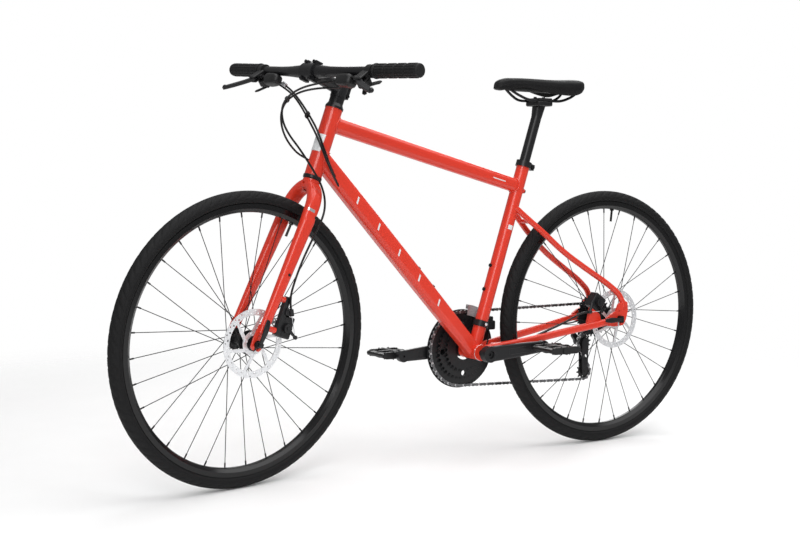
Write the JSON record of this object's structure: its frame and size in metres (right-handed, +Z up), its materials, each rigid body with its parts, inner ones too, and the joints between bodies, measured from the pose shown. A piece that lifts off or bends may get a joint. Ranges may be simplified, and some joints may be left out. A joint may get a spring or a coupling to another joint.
{
  "type": "hybrid bike",
  "caption": "Hybrid bike with a diamond frame, rigid fork, flat bar, disc brakes, derailleur gears and a padded saddle, its bar turned slightly to the left",
  "frame": {"origin": "on the ground, midway between the two wheel axles", "axes": "+X forward, +Y to the rider's left, +Z up"},
  "size_m": [1.7806, 0.7033, 1.0072],
  "materials": {
    "frame_paint": "gloss coral-red paint over alloy tube",
    "black_alloy": "satin black anodised",
    "dark_steel": "black oxide steel",
    "bright_steel": "brushed stainless steel",
    "tyre_rubber": "moulded tread",
    "grip_rubber": "ribbed rubber",
    "saddle_cover": "matt stitched cover over foam",
    "black_plastic": "moulded plastic",
    "housing": "smooth cable housing"
  },
  "bodies": {
    "frame": {"head_tube": "frame_paint", "top_tube": "frame_paint", "down_tube": "frame_paint", "seat_tube": "frame_paint", "bottom_bracket": "frame_paint", "chainstays": "frame_paint", "seatstays": "frame_paint", "headset_cups": "black_alloy", "seat_collar": "black_alloy", "frame_bolts": "dark_steel", "rear_axle": "black_alloy", "rear_caliper": "black_alloy", "front_derailleur": "black_alloy", "rd_mount": "black_alloy", "rd_links": "black_alloy", "chain": "bright_steel", "control_cables": "housing", "rear_cables": "housing"},
    "front_end": {"fork": "frame_paint", "stem": "black_alloy", "handlebar": "black_alloy", "grips": "grip_rubber", "control_bodies": "black_alloy", "front_caliper": "black_alloy", "front_brake_cable": "housing", "front_axle": "black_alloy"},
    "left_brake_lever": {"left_brake_lever": "black_alloy"},
    "right_brake_lever": {"right_brake_lever": "black_alloy"},
    "left_shift_lever": {"left_shift_lever": "black_plastic"},
    "right_shift_lever": {"right_shift_lever": "black_plastic"},
    "left_release_trigger": {"left_release_trigger": "black_plastic"},
    "right_release_trigger": {"right_release_trigger": "black_plastic"},
    "front_quick_release": {"front_quick_release": "black_alloy"},
    "rear_quick_release": {"rear_quick_release": "black_alloy"},
    "front_brake_arm": {"front_brake_arm": "black_alloy"},
    "rear_brake_arm": {"rear_brake_arm": "black_alloy"},
    "front_wheel": {"front_tyre": "tyre_rubber", "front_rim": "black_alloy", "front_spokes": "dark_steel", "front_hub": "black_alloy", "front_rotor": "bright_steel"},
    "rear_wheel": {"rear_tyre": "tyre_rubber", "rear_rim": "black_alloy", "rear_spokes": "dark_steel", "rear_hub": "black_alloy", "rear_rotor": "bright_steel"},
    "cassette": {"cassette": "dark_steel"},
    "crank": {"crank_spindle": "dark_steel", "right_crank": "black_alloy", "left_crank": "black_alloy", "chainrings": "dark_steel"},
    "left_pedal": {"left_pedal": "black_plastic"},
    "right_pedal": {"right_pedal": "black_plastic"},
    "seat": {"seatpost": "black_alloy", "saddle_rails": "dark_steel", "saddle": "saddle_cover"},
    "rear_derailleur": {"rd_cage": "black_alloy"},
    "guide_pulley": {"guide_pulley": "black_plastic"},
    "tension_pulley": {"tension_pulley": "black_plastic"},
    "front_derailleur_cage": {"fd_cage": "bright_steel"}
  },
  "joints": [
    {"name": "steering", "type": "hinge", "parent": "frame", "child": "front_end", "pos_m": [0.5012, 0, 0.33014], "axis": [-0.3305, 0, 0.9438], "range_deg": [-74.25, 55.75], "deforming": ["control_cables"]},
    {"name": "front_wheel_spin", "type": "hinge", "parent": "front_end", "child": "front_wheel", "pos_m": [0.54591, 0.00772, 0.34579], "axis": [-0.1517, 0.987, -0.0531], "continuous": true},
    {"name": "rear_wheel_spin", "type": "hinge", "parent": "frame", "child": "rear_wheel", "pos_m": [-0.5465, 0, 0.346], "axis": [0, 1, 0], "continuous": true},
    {"name": "crank_spin", "type": "hinge", "parent": "frame", "child": "crank", "pos_m": [-0.11183, 0, 0.2777], "axis": [0, 1, 0], "continuous": true, "deforming": ["chain"]},
    {"name": "cassette_spin", "type": "hinge", "parent": "frame", "child": "cassette", "pos_m": [-0.5465, 0, 0.346], "axis": [0, 1, 0], "continuous": true, "deforming": ["chain"]},
    {"name": "left_pedal_spin", "type": "hinge", "parent": "crank", "child": "left_pedal", "pos_m": [-0.28148, 0.13, 0.28858], "axis": [0, 1, 0], "continuous": true},
    {"name": "right_pedal_spin", "type": "hinge", "parent": "crank", "child": "right_pedal", "pos_m": [0.05782, -0.13, 0.26682], "axis": [0, 1, 0], "continuous": true},
    {"name": "guide_pulley_spin", "type": "hinge", "parent": "rear_derailleur", "child": "guide_pulley", "pos_m": [-0.532, -0.054, 0.27], "axis": [0, 1, 0], "continuous": true, "deforming": ["chain"]},
    {"name": "tension_pulley_spin", "type": "hinge", "parent": "rear_derailleur", "child": "tension_pulley", "pos_m": [-0.53195, -0.054, 0.188], "axis": [0, 1, 0], "continuous": true, "deforming": ["chain"]},
    {"name": "rear_shift", "type": "slide", "parent": "frame", "child": "rear_derailleur", "axis": [0, 0.7507, -0.6606], "range_m": [-0.0133, 0.0267], "deforming": ["chain", "rd_links", "rear_cables"]},
    {"name": "front_shift", "type": "slide", "parent": "frame", "child": "front_derailleur_cage", "axis": [0, 1, 0], "range_m": [0, 0.013], "deforming": ["chain", "rear_cables"]},
    {"name": "seat_height", "type": "slide", "parent": "frame", "child": "seat", "axis": [-0.3024, 0, 0.9532], "range_m": [-0.12, 0.04]},
    {"name": "left_brake", "type": "hinge", "parent": "front_end", "child": "left_brake_lever", "pos_m": [0.36584, 0.21446, 0.93951], "axis": [0.5306, 0.1565, 0.8331], "range_deg": [0, 25], "stiffness_Nm_per_rad": 0.6, "deforming": ["front_brake_cable"]},
    {"name": "left_shift", "type": "hinge", "parent": "front_end", "child": "left_shift_lever", "pos_m": [0.33839, 0.19819, 0.92644], "axis": [-0.5306, -0.1565, -0.8331], "range_deg": [0, 30], "stiffness_Nm_per_rad": 0.2},
    {"name": "left_release", "type": "hinge", "parent": "front_end", "child": "left_release_trigger", "pos_m": [0.33643, 0.19761, 0.92336], "axis": [0.5306, 0.1565, 0.8331], "range_deg": [0, 20], "stiffness_Nm_per_rad": 0.2},
    {"name": "right_brake", "type": "hinge", "parent": "front_end", "child": "right_brake_lever", "pos_m": [0.42647, -0.18, 0.96074], "axis": [-0.5396, -0.0978, -0.8362], "range_deg": [0, 25], "stiffness_Nm_per_rad": 0.6, "deforming": ["rear_cables"]},
    {"name": "right_shift", "type": "hinge", "parent": "front_end", "child": "right_shift_lever", "pos_m": [0.39563, -0.17416, 0.94648], "axis": [0.5396, 0.0978, 0.8362], "range_deg": [0, 30], "stiffness_Nm_per_rad": 0.2},
    {"name": "right_release", "type": "hinge", "parent": "front_end", "child": "right_release_trigger", "pos_m": [0.39363, -0.17453, 0.94339], "axis": [-0.5396, -0.0978, -0.8362], "range_deg": [0, 20], "stiffness_Nm_per_rad": 0.2},
    {"name": "front_caliper_arm", "type": "hinge", "parent": "front_end", "child": "front_brake_arm", "pos_m": [0.45838, 0.05862, 0.37448], "axis": [-0.1517, 0.987, -0.0531], "range_deg": [0, 20], "stiffness_Nm_per_rad": 0.1, "deforming": ["front_brake_cable"]},
    {"name": "rear_caliper_arm", "type": "hinge", "parent": "frame", "child": "rear_brake_arm", "pos_m": [-0.47769, 0.071, 0.39418], "axis": [0, -1, 0], "range_deg": [0, 20], "stiffness_Nm_per_rad": 0.1, "deforming": ["rear_cables"]},
    {"name": "front_skewer_lever", "type": "hinge", "parent": "front_end", "child": "front_quick_release", "pos_m": [0.53605, 0.07187, 0.34234], "axis": [-0.9315, -0.1607, -0.3262], "range_deg": [0, 170]},
    {"name": "rear_skewer_lever", "type": "hinge", "parent": "frame", "child": "rear_quick_release", "pos_m": [-0.5465, 0.0825, 0.346], "axis": [0, 0, 1], "range_deg": [0, 170]}
  ],
  "couplings": [
    {"joint": "cassette_spin", "follows": "crank_spin", "ratio": 3},
    {"joint": "tension_pulley_spin", "follows": "crank_spin", "ratio": 4.3636},
    {"joint": "guide_pulley_spin", "follows": "crank_spin", "ratio": -4.3636},
    {"joint": "front_caliper_arm", "follows": "left_brake", "ratio": 0.8},
    {"joint": "rear_caliper_arm", "follows": "right_brake", "ratio": 0.8}
  ]
}
